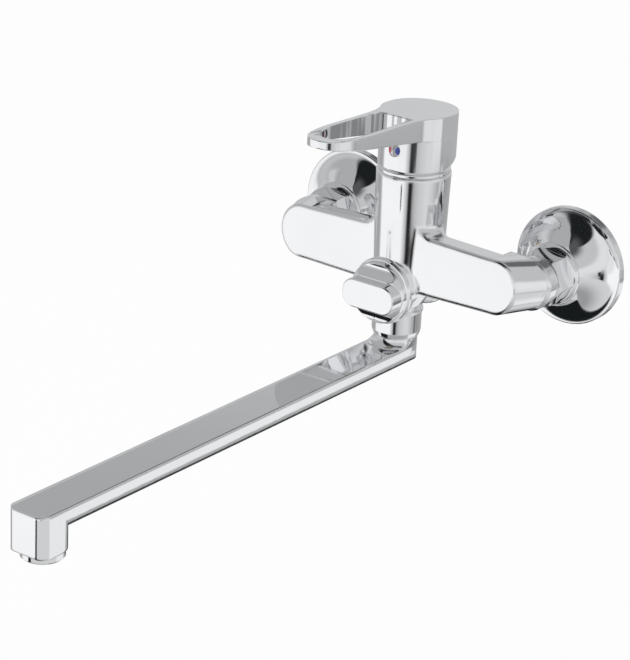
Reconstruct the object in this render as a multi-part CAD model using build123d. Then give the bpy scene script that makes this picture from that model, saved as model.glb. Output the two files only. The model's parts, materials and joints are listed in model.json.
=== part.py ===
"""Wall-mounted single-lever bath mixer with a long swivel spout and a shower diverter.

Frame: X along the wall, +Y into the wall, +Z up. The wall is the plane Y = 0, and the
origin lies on it, midway between the two wall threads. The mixer hangs below that line by
the offset of its S-shaped unions, so every piece is drawn about the mixer's own inlet
axis (Z = 0 there) and moved down by that offset when it is written.
"""
import os
from math import cos, pi, radians, sin, sqrt, tan

from build123d import *

# Wall side
inlet_spacing = 150.0        # centre distance of the two inlets
union_offset = 5.0           # how far an S-union steps from its wall thread to its nut
wall_thread_r = 10.4         # G1/2 male thread
wall_thread_len = 14.0       # thread that goes into the wall fitting
nut_thread_r = 13.2          # G3/4 thread between S-union and nut
union_bore_r = 7.5
thread_gap = 0.05            # radial play of a screwed pair
flange_r = 34.0
flange_rim = 4.6             # height of the flange's straight rim
flange_depth = 17.5          # wall to the flange's neck
flange_wall = 1.2
flange_waist = 20.0          # radius at the middle of the hollow bell
flange_waist_y = -9.6

# Union nuts and the nipples that hold them
nut_across_flats = 28.5
nut_len = 18.5
nut_turn = -8.0              # how the hexagon is turned, degrees
nut_collar_r = 18.0
nut_collar_len = 6.4
nut_gap = 0.6                # nut to flange neck, and nut to barrel
nut_lip = 2.4                # the nut's inner shoulder
nipple_r = 10.3
nipple_bore_r = 7.0
nipple_head_r = 12.4
nipple_head = 2.2
gasket_thick = 2.0
nipple_grip = 12.0           # length of nipple screwed into the barrel

# Body casting
barrel_r = 14.8
barrel_edge = 1.5            # rounding behind the nut
barrel_back = flange_depth + nut_len + 2 * nut_gap   # wall to the barrel's back face
arm_front = 67.4             # wall to the flat front faces of the arms
arm_back = 45.5              # wall to the arm's rear side near the column
arm_half_height = 15.9
arm_rise = 2.0               # the arm's centre above the inlet axis
arm_swell = 1.2              # extra half height of the arm at the column
arm_bulge = 13.4             # how far ahead of the flat front the hollow may reach
arm_inset = 7.0              # the arm's sweep ends this far inside the inlet axis
arm_end_drop = 2.1           # its rear is this much lower than the barrel there
arm_rear_drop = 1.2          # and this much lower than its front halfway
arm_rear_round = 0.7         # rear rounding as a share of the rear's half height
arm_end = 80.0               # where the flat front ends, measured from the column
arm_end_round = 13.5         # half-oval end of the flat front
face_start = 22.5            # where the flat front begins beside the column
face_blend = 40.0            # radius of the hollow between flat front and column
column_y = -53.4
column_top = 52.0
column_top_r = 21.1
column_low_r = 19.5
column_low = -14.0
column_blend = 6.0           # fillet from column to arms
seat_r = 14.7                # round foot above the spout nut
seat_z = -28.7
seat_height = 1.2
foot_r = 12.0                # casting just above the foot
boss_front = 76.4            # wall to the diverter boss's front
boss_z = -14.4               # diverter axis
boss_top = 1.4
boss_top_half = 10.5
boss_half = 16.6
boss_edge = 2.0              # rounding of the boss's front edge
shower_y = -38.4
shower_boss_r = 12.4
shower_face = -28.6
shower_thread_r = 9.3        # G1/2 female thread
shower_bush_r = 10.8
shower_bush_len = 8.0
shower_recess = 0.4          # the bush stands this far inside the boss's face
shower_valve_r = 8.6
shower_valve_len = 5.5
shower_chamber_top = -8.3
inlet_way_r = 6.0
mixed_way_r = 3.0
mixed_way_z = -4.5
shower_way_r = 3.0
shower_way_z = -12.5
spout_way_r = 4.0
spout_way_y = -59.0

# Cartridge
chamber_r = 17.7
chamber_floor = 12.0
cartridge_r = 17.5           # a 35 mm cartridge
cartridge_wall = 1.8
base_height = 6.0
port_r = 3.2
port_places = ((-7.5, -2.0), (7.5, -2.0), (0.0, 8.0))   # hot, cold, mixed
seal_width = 1.7
seal_height = 1.2
fixed_disc_r = 15.2
fixed_disc_thick = 4.0
moving_disc_r = 9.2
moving_disc_thick = 3.4
carrier_r = 9.0
carrier_height = 16.0
shell_top = 46.0             # shoulder that the retaining nut presses on
shell_neck_r = 12.0
shell_neck_top = 50.8
rotor_r = 11.0
rotor_neck_r = 9.0
spindle_side = 7.0
spindle_ball_r = 3.6
spindle_top = 72.0
pivot_z = 55.0               # pin about which the lever lifts
pivot_pin_r = 1.5
lift_angle = 20.0
retaining_nut_r = 18.6
retaining_nut_thick = 5.0
fit_gap = 0.05               # running fit, radial
free_gap = 0.35              # plain clearance between pieces that move past each other

# Dome cap under the handle
dome_r = 16.4
dome_wall = 1.2
dome_rim = 2.0
dome_rim_r = 20.6
dome_mouth_r = 13.9

# Handle
handle_seam = 55.0           # underside of the handle's skirt
handle_top = 86.0            # flat top above the hub centre
handle_tilt = 1.6            # the flat top rises this much towards the tip, degrees
skirt_r = 20.7
hub_back = 4.0               # how far the hub is drawn out to the rear
hub_heel = 58.6              # underside of the hub's rear
hub_inset = 0.03             # the skirt stands this much inside the lever's outline
skirt_cavity_r = 17.3
skirt_heel_angle = 19.0      # the skirt's underside rises to the rear, for the lift
hub_turn = 60.0              # where the waist leaves the hub, degrees from the front
lever_reach = 92.5           # column axis to the loop's tip
lever_half_waist = 14.4
lever_half_loop = 14.6
lever_tip_thick = 4.2
lever_root_thick = 12.6
loop_bar = 3.6               # width of the loop's side bars
loop_tip_bar = 7.5
loop_start = 20.5            # column axis to the loop's straight inner edge
loop_corner = 3.0
plug_r = 3.6
plug_z = 67.0
plug_depth = 1.6
plug_crown = 1.0             # how far the button bulges
socket_boss_r = 8.4          # boss inside the hub that takes the spindle
set_screw_r = 2.5

# Spout
spout_y = -61.7
spout_nut_r = 14.0
spout_nut_height = 14.3
spout_nut_lip = 2.0
spout_thread_r = 12.1
spout_neck_r = 12.3
neck_flare = 4.4             # hollow fillet between neck and spout
spout_half_width = 12.3
spout_top = -49.0
spout_depth = 15.0
spout_lip = 0.8              # upright edge above the half-oval belly
spout_wall = 1.4
spout_reach = 294.0          # swivel axis to the aerator axis
spout_tip = 13.0             # aerator axis to the end of the spout
spout_tip_corner = 5.5
stem_r = 8.9
stem_bore_r = 6.0
stem_top = -25.5
stem_bore_clear = 2.0        # space above the stem in the body
stem_seal_heights = (stem_top - 3.0, stem_top - 7.0)
stem_seal_wire = 0.84        # radius of the O-rings' round section
slip_ring_r = 11.3
outlet_boss_bottom = -71.6
aerator_r = 11.3
aerator_bottom = -76.2
aerator_thread_r = 10.4
aerator_lip = 1.0

# Diverter
bonnet_r = 8.2
bonnet_len = 14.0
collar_r = 19.2
collar_thick = 2.6
knob_r = 18.0
knob_disc = 7.0              # thickness of the knob's round base
knob_shoulder = 5.5          # how far the base's front edge is rounded in
finger_r = 7.0               # hollows above and below the grip
finger_floor = 4.0           # material left behind the hollows
grip_half_length = 17.3
grip_half_height = 8.4
grip_height = 5.8
knob_gap = 0.35
knob_screw_r = 1.5
knob_screw_set = 2.1         # screw axis behind the knob's back face
diverter_spindle_r = 3.2
diverter_disc_r = 6.0
diverter_disc_thick = 2.6

inlet_x = inlet_spacing / 2
nut_wall_end = -(flange_depth + nut_gap)
nut_body_end = nut_wall_end - nut_len
nipple_head_y = nut_body_end + nut_lip + 0.05
gasket_y = nipple_head_y + nipple_head
union_end_y = gasket_y + gasket_thick
spout_nut_top = seat_z - 0.2
spout_nut_bottom = spout_nut_top - spout_nut_height
aerator_y = spout_y - spout_reach
shower_bush_top = shower_face + shower_recess + shower_bush_len
diverter_back = -boss_front + bonnet_len


def turned(profile, x=0.0, y=0.0):
    """Solid of revolution about a vertical axis from (radius, height) points."""
    outline = make_face(Polyline([(r, 0, z) for r, z in profile], close=True))
    return Pos(x, y, 0) * revolve(outline, Axis.Z)


def turned_along_y(profile, x=0.0, z=0.0):
    """Solid of revolution about an axis along Y from (radius, y) points."""
    outline = make_face(Polyline([(r, 0, y) for r, y in profile], close=True))
    return Pos(x, 0, z) * (Rot(-90, 0, 0) * revolve(outline, Axis.Z))


def rod(r, low, high, x=0.0, y=0.0):
    """Vertical cylinder from low to high."""
    return Pos(x, y, low) * Cylinder(r, high - low, align=(Align.CENTER, Align.CENTER, Align.MIN))


def rod_along_y(r, back, front, x=0.0, z=0.0):
    """Cylinder along Y between two Y values."""
    bar = Cylinder(r, abs(front - back), align=(Align.CENTER, Align.CENTER, Align.MIN))
    return Pos(x, min(back, front), z) * (Rot(-90, 0, 0) * bar)


def rod_along_x(r, left, right, y=0.0, z=0.0):
    """Cylinder along X between two X values."""
    bar = Cylinder(r, right - left, align=(Align.CENTER, Align.CENTER, Align.MIN))
    return Pos(left, y, z) * (Rot(0, 90, 0) * bar)


def tube(outer, inner, low, high, x=0.0, y=0.0):
    """Vertical tube."""
    return rod(outer, low, high, x, y) - rod(inner, low - 1, high + 1, x, y)


def d_outline(end_x, round_x, half_height, rise, inner_x, y):
    """Face in a plane across Y: straight top and bottom, half-oval outer end."""
    middle_x = end_x - round_x
    sketch = Pos(middle_x, rise) * Ellipse(round_x, half_height)
    block = Rectangle(middle_x - inner_x, 2 * half_height, align=(Align.MIN, Align.CENTER))
    sketch = Pos(inner_x, rise) * block + sketch
    return Plane(origin=(0, y, 0), x_dir=(1, 0, 0), z_dir=(0, -1, 0)) * sketch


def barrel(side):
    """Flared end of an arm: from the oval front to the round face behind the nut."""
    inner = inlet_x - barrel_r
    front = d_outline(arm_end, arm_end_round, arm_half_height, arm_rise, inner, -arm_front)
    back = d_outline(inlet_x + barrel_r, barrel_r, barrel_r, 0, inner, -barrel_back - 5)
    flare = loft([front, back], ruled=True)
    round_end = rod_along_y(barrel_r, -barrel_back - 9, -barrel_back, x=inlet_x)
    round_end = fillet(round_end.edges().group_by(Axis.Y)[-1], barrel_edge)
    shape = flare + round_end
    return shape if side > 0 else mirror(shape, Plane.YZ)


def arm_section(x, half_height, rear_half, rear_rise, back):
    """Arm section in a plane across X: tall front, lower and rounded rear."""
    ahead = arm_front + arm_bulge
    stretch = (ahead - back) / (arm_front - back)
    low = rear_rise - rear_half - (rear_rise - rear_half - arm_rise + half_height) * stretch
    high = rear_rise + rear_half + (arm_rise + half_height - rear_rise - rear_half) * stretch
    outline = Polyline([(-ahead, low), (-ahead, high), (-back, rear_rise + rear_half),
                        (-back, rear_rise - rear_half)], close=True)
    sketch = make_face(outline)
    rear = sketch.vertices().group_by(Axis.X)[-1]
    sketch = fillet(rear, rear_half * arm_rear_round)
    return Plane(origin=(x, 0, 0), x_dir=(0, 1, 0), z_dir=(1, 0, 0)) * sketch


def arms_plan():
    """Plan of the arms' front: flat, with a hollow on each side of the column."""
    width = 2 * inlet_x
    plan = Pos(0, -arm_front) * Rectangle(width, arm_front, align=(Align.CENTER, Align.MIN))
    middle = Pos(0, -arm_front) * Rectangle(2 * face_start, column_low_r)
    for side in (-1, 1):
        middle -= Pos(side * face_start, -arm_front - face_blend) * Circle(face_blend)
    return plan + middle


def arms():
    """The cross bar of the body with a flat front and a swept rear."""
    middle = arm_half_height + arm_swell
    waist = arm_half_height + arm_swell * 0.45
    reach = inlet_x - arm_inset
    end_half = barrel_r - arm_end_drop
    half = loft([
        arm_section(0, middle, middle, arm_rise, arm_back),
        arm_section(reach * 0.55, waist, waist - arm_rear_drop, arm_rise * 0.6, arm_back),
        arm_section(reach, arm_half_height - 0.15, end_half, 0, barrel_back + 5),
    ])
    return (half + mirror(half, Plane.YZ)) & extrude(Pos(0, 0, -40) * arms_plan(), 80)


def column():
    """Upright that holds the cartridge, with its slight draft."""
    bar = turned([(0, column_low), (column_low_r, column_low), (column_top_r, column_top - 0.8),
                  (column_top_r - 0.8, column_top), (0, column_top)])
    return Pos(0, column_y, 0) * (Rot(0, 0, 90) * bar)


def foot():
    """Lower end of the column, drawn forward to the spout's axis."""
    upper = Pos(0, column_y, column_low + 2) * Circle(column_low_r)
    lower = Pos(0, spout_y, seat_z + seat_height - 0.1) * Circle(foot_r)
    return loft([upper, lower]) + rod(seat_r, seat_z, seat_z + seat_height, y=spout_y)


def diverter_boss():
    """Pad in front of the column's foot that carries the diverter."""
    outline = Polyline([(-boss_top_half, boss_top), (boss_top_half, boss_top), (boss_half, boss_z - 1),
                        (foot_r - 1, seat_z + seat_height + 1), (1 - foot_r, seat_z + seat_height + 1),
                        (-boss_half, boss_z - 1)], close=True)
    sketch = make_face(outline)
    sketch = fillet(sketch.vertices().group_by(Axis.Y)[-1], 7)
    sketch = fillet(sketch.vertices().sort_by(Axis.X)[0], 10)
    sketch = fillet(sketch.vertices().sort_by(Axis.X)[-1], 10)
    place = Plane(origin=(0, column_y, 0), x_dir=(1, 0, 0), z_dir=(0, -1, 0))
    pad = extrude(place * sketch, boss_front + column_y)
    return fillet(pad.edges().group_by(Axis.Y)[0], boss_edge)


def body_outside():
    """Outer form of the casting; its right half is blended, then mirrored to the left."""
    right = Box(inlet_spacing, inlet_spacing, inlet_spacing, align=(Align.MIN, Align.CENTER, Align.CENTER))
    half = (column() + arms()) & (Pos(0, column_y, 0) * right)
    arm_top = arm_rise + arm_half_height + arm_swell + 0.5
    joint = [e for e in half.edges() if 3 < e.center().X < column_low_r + 1.5
             and column_low + 0.1 < e.center().Z < arm_top
             and not (e.center().Z > arm_top - 4 and e.center().Y < -arm_front + 2)]
    half = fillet(joint, column_blend)
    shape = half + mirror(half, Plane.YZ) + (foot() + diverter_boss()) + barrel(1) + barrel(-1)
    shower = rod(shower_boss_r, shower_face, -8, y=shower_y)
    shower = chamfer(shower.edges().group_by(Axis.Z)[0], 1.2)
    return shape + shower


def body_casting():
    """Cast brass body: chamber, water ways, nipple sockets and outlets."""
    body = body_outside()
    thread = spout_thread_r
    body += rod(thread, seat_z - 7.5, seat_z + 1, y=spout_y)
    body -= rod(chamber_r, chamber_floor, column_top + 1, y=column_y)
    body -= rod(retaining_nut_r + thread_gap, shell_top, column_top + 1, y=column_y)
    for side in (-1, 1):
        socket = nipple_grip + 0.5
        body -= rod_along_y(nipple_r + thread_gap, -barrel_back - socket, -barrel_back + 1, x=side * inlet_x)
        body -= rod_along_y(inlet_way_r, -arm_front + 10, -barrel_back - socket + 1, x=side * inlet_x)
        body -= rod_along_x(inlet_way_r, min(side * 7, side * inlet_x), max(side * 7, side * inlet_x),
                            y=-arm_front + 12, z=1)
        body -= rod(port_r + 0.4, 1, chamber_floor + 1, x=side * port_places[1][0], y=-arm_front + 12)
    body -= rod(stem_r + fit_gap, seat_z - 9, stem_top + stem_bore_clear, y=spout_y)
    body -= rod_along_y(bonnet_r + thread_gap, -boss_front - 1, diverter_back + 0.4, z=boss_z)
    # Mixed water runs down and forward to the bonnet's side port
    mixed_y = column_y + port_places[2][1]
    body -= rod(port_r + 0.4, mixed_way_z, chamber_floor + 1, y=mixed_y)
    body -= rod_along_y(mixed_way_r, diverter_back - 6, mixed_y, z=mixed_way_z)
    # Behind the diverter one way goes down to the spout, the other back to the shower
    body -= rod_along_y(diverter_disc_r, diverter_back, diverter_back + 5.4, z=boss_z)
    body -= rod(spout_way_r, stem_top, boss_z, y=spout_way_y)
    body -= rod_along_y(shower_way_r, diverter_back + 2, shower_y, z=shower_way_z)
    body -= rod(shower_bush_r + thread_gap, shower_face - 1, shower_bush_top, y=shower_y)
    return body - rod(shower_valve_r, shower_bush_top - 1, shower_chamber_top, y=shower_y)


def s_union(side):
    """Eccentric union: wall thread, stepped middle with a hollow, and the nut's thread."""
    wall_z = union_offset
    step_back, step_front = -3.0, -11.0
    outer = rod_along_y(wall_thread_r, step_back, wall_thread_len, z=wall_z)
    wall_plane = Plane(origin=(0, step_back, wall_z), x_dir=(1, 0, 0), z_dir=(0, -1, 0))
    nut_plane = Plane(origin=(0, step_front, 0), x_dir=(1, 0, 0), z_dir=(0, -1, 0))
    outer += loft([wall_plane * Circle(wall_thread_r + 1.6), nut_plane * Circle(nut_thread_r - 0.5)])
    outer += rod_along_y(nut_thread_r - 0.5, step_front + 0.5, union_end_y)
    outer += rod_along_y(nut_thread_r, -flange_depth + 1.5, union_end_y + 1.0)
    bore_wall = rod_along_y(union_bore_r, step_back - 1, wall_thread_len + 1, z=wall_z)
    bore_nut = rod_along_y(union_bore_r + 1, step_front + 1, union_end_y - 1)
    hollow = loft([wall_plane * Circle(union_bore_r), nut_plane * Circle(union_bore_r + 1)])
    piece = outer - bore_wall - bore_nut - hollow
    return Pos(side * inlet_x, 0, 0) * piece


def flange(side):
    """Bell-shaped wall flange, a thin spun shell that slips over the union."""
    neck_r = nut_thread_r + 0.35
    lip_r = neck_r + flange_wall
    rim_y = -flange_rim
    edge = flange_r - 0.6
    with BuildSketch(Plane.XY) as bell:
        with BuildLine():
            Line((neck_r, -flange_depth), (lip_r, -flange_depth))
            ThreePointArc((lip_r, -flange_depth), (flange_waist, flange_waist_y), (edge, rim_y))
            ThreePointArc((edge, rim_y), (flange_r - 0.17, rim_y + 0.2), (flange_r, rim_y + 0.7))
            Line((flange_r, rim_y + 0.7), (flange_r, 0))
            Line((flange_r, 0), (flange_r - flange_wall, 0))
            Line((flange_r - flange_wall, 0), (flange_r - flange_wall, rim_y + flange_wall + 0.4))
            ThreePointArc((flange_r - flange_wall, rim_y + flange_wall + 0.4),
                          (flange_waist - 0.7, flange_waist_y + flange_wall), (neck_r, -flange_depth + 2.8))
            Line((neck_r, -flange_depth + 2.8), (neck_r, -flange_depth))
        make_face()
    shell = revolve(bell.sketch, Axis.Y)
    return Pos(side * inlet_x, 0, 0) * shell


def union_nut(side):
    """Hexagon nut with a round collar on its wall side and an inner shoulder."""
    hexagon = RegularPolygon(nut_across_flats / 2, 6, major_radius=False, rotation=nut_turn)
    place = Plane(origin=(0, nut_wall_end - 0.5, 0), x_dir=(1, 0, 0), z_dir=(0, -1, 0))
    nut = extrude(place * hexagon, nut_len - 0.5)
    corner_r = nut_across_flats / sqrt(3)
    bevel = turned_along_y([(0, nut_body_end), (corner_r - 1.9, nut_body_end),
                            (corner_r + 0.1, nut_body_end + 1.8), (corner_r + 0.1, nut_wall_end),
                            (0, nut_wall_end)])
    nut = nut & bevel
    collar = rod_along_y(nut_collar_r, nut_wall_end - nut_collar_len, nut_wall_end)
    collar = fillet(collar.edges(), nut_collar_len * 0.45)
    nut = nut + collar
    nut -= rod_along_y(nut_thread_r + thread_gap, nipple_head_y - 0.05, nut_wall_end + 1)
    nut -= rod_along_y(nipple_r + 0.3, nut_body_end - 1, nut_wall_end)
    return Pos(side * inlet_x, 0, 0) * nut


def inlet_nipple(side):
    """Headed nipple screwed into the barrel; its head holds the nut."""
    nipple = rod_along_y(nipple_r, -barrel_back - nipple_grip, nipple_head_y + 1)
    nipple += rod_along_y(nipple_head_r, nipple_head_y, gasket_y)
    nipple -= rod_along_y(nipple_bore_r, -barrel_back - nipple_grip - 1, gasket_y + 1)
    return Pos(side * inlet_x, 0, 0) * nipple


def union_gasket(side):
    """Flat sealing washer between nipple and union."""
    ring = rod_along_y(nipple_head_r, gasket_y, union_end_y)
    ring -= rod_along_y(nipple_bore_r + 0.6, gasket_y - 1, union_end_y + 1)
    return Pos(side * inlet_x, 0, 0) * ring


# Heights in the cartridge, from the chamber's floor up
base_top = chamber_floor + base_height
fixed_top = base_top + fixed_disc_thick
moving_top = fixed_top + moving_disc_thick
carrier_top = moving_top + carrier_height
ball_z = carrier_top - 4.5


def cartridge_base():
    """Foot of the cartridge with its three ports and two locating pegs."""
    base = rod(cartridge_r - 0.1, chamber_floor, base_top, y=column_y)
    for x, y in port_places:
        base -= rod(port_r + 0.4, chamber_floor - 1, base_top + 1, x=x, y=column_y + y)
        base -= rod(port_r + seal_width + 0.05, base_top - seal_height, base_top + 1, x=x, y=column_y + y)
    return base


def base_seals():
    """Three port seals set in the base's upper face."""
    return Compound(children=[tube(port_r + seal_width, port_r + 0.4, base_top - seal_height, base_top + 0.04,
                                   x=x, y=column_y + y) for x, y in port_places])


def fixed_disc():
    """Ceramic disc that stays still, with three ports."""
    disc = rod(fixed_disc_r, base_top + 0.05, fixed_top, y=column_y)
    for x, y in port_places:
        disc -= rod(port_r, base_top - 1, fixed_top + 1, x=x, y=column_y + y)
    return disc


def moving_disc():
    """Ceramic disc that the lever slides and turns, with a mixing pocket below."""
    disc = rod(moving_disc_r, fixed_top + 0.02, moving_top, y=column_y)
    pocket = SlotOverall(13, 7)
    return disc - extrude(Plane(origin=(0, column_y + 1, fixed_top)) * pocket, 1.8)


def disc_carrier():
    """Driver glued on the moving disc, with the socket for the spindle's ball."""
    body = rod(carrier_r, moving_top, carrier_top, y=column_y)
    socket = spindle_ball_r + free_gap
    body -= rod(socket, ball_z - spindle_ball_r - 0.6, carrier_top + 1, y=column_y)
    mouth = turned([(0, ball_z), (socket, ball_z), (carrier_r - 2.0, carrier_top + 0.1),
                    (0, carrier_top + 0.1)], y=column_y)
    return body - mouth


def cartridge_shell():
    """Housing of the cartridge, with the shoulder that the retaining nut presses on."""
    inner = cartridge_r - cartridge_wall
    shell = turned([(0, base_top + 0.1), (cartridge_r, base_top + 0.1), (cartridge_r, shell_top),
                    (shell_neck_r + 1, shell_top), (shell_neck_r + 1, shell_neck_top), (0, shell_neck_top)],
                   y=column_y)
    shell -= rod(inner, base_top - 1, carrier_top + 1.0, y=column_y)
    shell -= rod(rotor_r + fit_gap, carrier_top, shell_top - 1.2, y=column_y)
    return shell - rod(rotor_neck_r + fit_gap, shell_top - 2, shell_neck_top + 1, y=column_y)


def rotor():
    """Turning insert at the top of the cartridge; the spindle rocks in its slot."""
    low = carrier_top + 1.4
    piece = rod(rotor_r, low, shell_top - 1.3, y=column_y)
    piece += rod(rotor_neck_r, low, pivot_z + 3, y=column_y)
    swing = spindle_side + 2 * free_gap
    slot = Box(swing, 2 * rotor_r + 4, pivot_z + 8 - low, align=(Align.CENTER, Align.CENTER, Align.MIN))
    reach = (pivot_z - low + 2) * tan(radians(lift_angle)) + spindle_side
    core = rod(min(reach, rotor_r - 1.6), low - 1, shell_top - 1.3, y=column_y)
    upper = rod(rotor_neck_r - 1.4, shell_top - 2, pivot_z + 8, y=column_y)
    piece -= (Pos(0, column_y, low - 1) * slot) & (core + upper)
    upper_slot = Box(swing, 2 * rotor_neck_r + 2, 12, align=(Align.CENTER, Align.CENTER, Align.MIN))
    piece -= Pos(0, column_y, shell_neck_top + 0.4) * upper_slot
    return piece - rod_along_x(pivot_pin_r, -rotor_r, rotor_r, y=column_y, z=pivot_z)


def pivot_pin():
    """Cross pin of the spindle, pressed into the rotor."""
    return rod_along_x(pivot_pin_r, -rotor_neck_r + 0.8, rotor_neck_r - 0.8, y=column_y, z=pivot_z)


def lever_spindle():
    """Square spindle with a ball foot in the disc carrier."""
    top = spindle_top
    bar = Pos(0, column_y, ball_z) * Box(spindle_side, spindle_side, top - ball_z,
                                         align=(Align.CENTER, Align.CENTER, Align.MIN))
    bar = chamfer(bar.edges().filter_by(Axis.Z), 0.8)
    taper = turned([(0, ball_z - 1), (2.2, ball_z - 1), (2.2, ball_z + 3), (spindle_side, ball_z + 12),
                    (spindle_side, top), (0, top)], y=column_y)
    bar = bar & taper
    ball = Pos(0, column_y, ball_z) * Sphere(spindle_ball_r)
    return bar + ball - rod_along_x(pivot_pin_r + fit_gap, -rotor_r, rotor_r, y=column_y, z=pivot_z)


def retaining_nut():
    """Ring nut that clamps the cartridge, with six spanner notches."""
    low = shell_top + 0.05
    ring = tube(retaining_nut_r, shell_neck_r + 1.4, low, low + retaining_nut_thick, y=column_y)
    for k in range(6):
        notch = Pos(0, column_y, 0) * (Rot(0, 0, 60 * k) * (
            Pos(shell_neck_r + 2.2, 0, low + retaining_nut_thick - 2) * Box(
                3.4, 3.0, 5, align=(Align.CENTER, Align.CENTER, Align.MIN))))
        ring -= notch
    return ring


def dome_cap():
    """Chromed cap: a flat rim that shows under the handle and a dome inside the skirt."""
    ball = Pos(0, column_y, pivot_z) * Sphere(dome_r)
    hollow = Pos(0, column_y, pivot_z) * Sphere(dome_r - dome_wall)
    low = column_top + 0.05
    keep = rod(dome_rim_r, low, pivot_z + 2 * dome_r, y=column_y)
    rim = rod(dome_rim_r, low, low + dome_rim, y=column_y)
    rim = fillet(rim.edges().group_by(Axis.Z)[-1], 0.7)
    cap = (ball & keep) + rim
    cap -= hollow & keep
    cap -= rod(dome_r - dome_wall - 0.2, low - 1, pivot_z, y=column_y)
    return cap - rod(dome_mouth_r, pivot_z, pivot_z + 2 * dome_r, y=column_y)


def lever_outline():
    """Plan of the handle: hub drawn out to the rear, waist and long loop with a round tip."""
    a = radians(hub_turn)
    r = skirt_r
    waist = lever_half_waist
    loop = lever_half_loop
    tip = -lever_reach
    side = (r * sin(a), -r * cos(a))
    tangent = (-cos(a), -sin(a))
    right = Spline([side, (waist + 0.15, -28), (loop, -54), (loop * 0.86, tip + 11.5), (0, tip)],
                   tangents=[tangent, (-1, 0)])
    right += ThreePointArc(side, (r * sin((a + pi / 2) / 2), -r * cos((a + pi / 2) / 2)), (r, 0))
    right += Line((r, 0), (r, hub_back))
    back = ThreePointArc((r, hub_back), (0, hub_back + r), (-r, hub_back))
    return make_face([right, mirror(right, Plane.YZ), back])


def hub_plan(r):
    """Plan of the hub: a circle drawn out to the rear."""
    return Circle(r) + Pos(0, hub_back) * Circle(r) + Pos(0, hub_back / 2) * Rectangle(2 * r, hub_back)


def loop_opening():
    """Rounded triangle that makes the lever a loop: straight towards the hub."""
    half_hub = lever_half_waist - loop_bar - 1.2
    half = lever_half_loop - loop_bar
    tip = -lever_reach + loop_tip_bar
    right = Spline([(half_hub, -loop_start), (half, -54), (half * 0.72, tip + 6.5), (0, tip)],
                   tangents=[(0.02, -1), (-1, 0)])
    left = mirror(right, Plane.YZ)
    edge = Line((-half_hub, -loop_start), (half_hub, -loop_start))
    opening = make_face([right, left, edge])
    corners = opening.vertices().sort_by(Axis.Y)[-2:]
    return fillet(corners, loop_corner)


def lever_wedge():
    """Side view of the lever: flat top, underside rising to the thin tip."""
    slope = tan(radians(handle_tilt))
    top_tip = handle_top + slope * (lever_reach + 2)
    top_back = handle_top - slope * (skirt_r + hub_back + 2)
    root_y = -12.5
    root = handle_top - lever_root_thick
    side = Polyline([(skirt_r + hub_back + 2, top_back), (-lever_reach - 2, top_tip),
                     (-lever_reach - 2, top_tip - lever_tip_thick), (root_y, root),
                     (skirt_r + hub_back + 2, root)], close=True)
    plane = Plane(origin=(-30, 0, 0), x_dir=(0, 1, 0), z_dir=(1, 0, 0))
    return extrude(plane * make_face(side), 60)


def handle_lever():
    """One-piece cast handle: skirt over the dome, hub and open loop."""
    prism = extrude(lever_outline(), handle_top + 10)
    lever = prism & lever_wedge()
    # The hub's rear runs down behind the skirt and slopes in to it
    wide = skirt_r + hub_back + 0.1
    root = handle_top - lever_root_thick
    cone = turned([(0, handle_seam), (skirt_r + 0.2, handle_seam), (wide, hub_heel), (wide, root + 1),
                   (0, root + 1)])
    hub = extrude(Pos(0, 0, handle_seam - 1) * hub_plan(skirt_r - hub_inset), root + 3 - handle_seam)
    shape = lever + (hub & cone)
    shape -= rod(skirt_cavity_r, handle_seam - 1, pivot_z + skirt_cavity_r - 0.4)
    shape -= extrude(loop_opening(), handle_top + 20)
    heel = Pos(0, 0, handle_seam) * (Rot(skirt_heel_angle, 0, 0) * Box(
        80, 60, 40, align=(Align.CENTER, Align.MIN, Align.MAX)))
    shape -= heel
    boss_low = plug_z - set_screw_r - 1.2
    socket = Box(spindle_side + 0.1, spindle_side + 0.1, spindle_top + 1.3 - boss_low,
                 align=(Align.CENTER, Align.CENTER, Align.MIN))
    shape += Pos(0, 0, boss_low) * Cylinder(
        socket_boss_r, handle_top - 10 - boss_low, align=(Align.CENTER, Align.CENTER, Align.MIN))
    shape -= Pos(0, 0, boss_low - 1) * socket
    shape -= rod_along_y(set_screw_r + thread_gap, -skirt_r - 1, 0, z=plug_z)
    shape -= rod_along_y(plug_r + 0.02, -skirt_r - 1, -skirt_r + plug_depth, z=plug_z)
    return Pos(0, column_y, 0) * shape


def index_plug(side):
    """Half of the round temperature button: one half hot, the other cold."""
    stem = rod_along_y(plug_r, -skirt_r + 0.1, -skirt_r + plug_depth - 0.05, z=plug_z)
    crown_r = (plug_r ** 2 + plug_crown ** 2) / (2 * plug_crown)
    crown = Pos(0, -skirt_r + 0.1 - plug_crown + crown_r, plug_z) * Sphere(crown_r)
    button = stem + (crown & rod_along_y(plug_r, -skirt_r - 5, -skirt_r + 0.2, z=plug_z))
    half = Pos(side * 20.01, 0, plug_z) * Box(40, 80, 40)
    return Pos(0, column_y, 0) * (button & half)


def handle_screw():
    """Grub screw behind the button that clamps the handle on the spindle."""
    front = -skirt_r + plug_depth + 0.4
    screw = rod_along_y(set_screw_r, -spindle_side / 2 - 0.05, front, z=plug_z)
    hexagon = extrude(Plane(origin=(0, front - 0.01, plug_z), x_dir=(1, 0, 0), z_dir=(0, 1, 0))
                      * RegularPolygon(1.3, 6), 3)
    return Pos(0, column_y, 0) * (screw - hexagon)


# Spout: a vertical stem that swivels in the body, an elbow and a long flat-topped arm


def spout_section(inset=0.0):
    """Section across the spout: flat top, low upright edges and a half-oval belly."""
    half = spout_half_width - inset
    depth = spout_depth - 2 * inset
    lip = spout_lip
    belly = Pos(0, depth / 2 - lip) * Ellipse(half, depth - lip)
    belly = belly & (Pos(0, -lip) * Rectangle(2 * half, depth))
    return belly + Pos(0, depth / 2 - lip / 2) * Rectangle(2 * half, lip)


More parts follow.
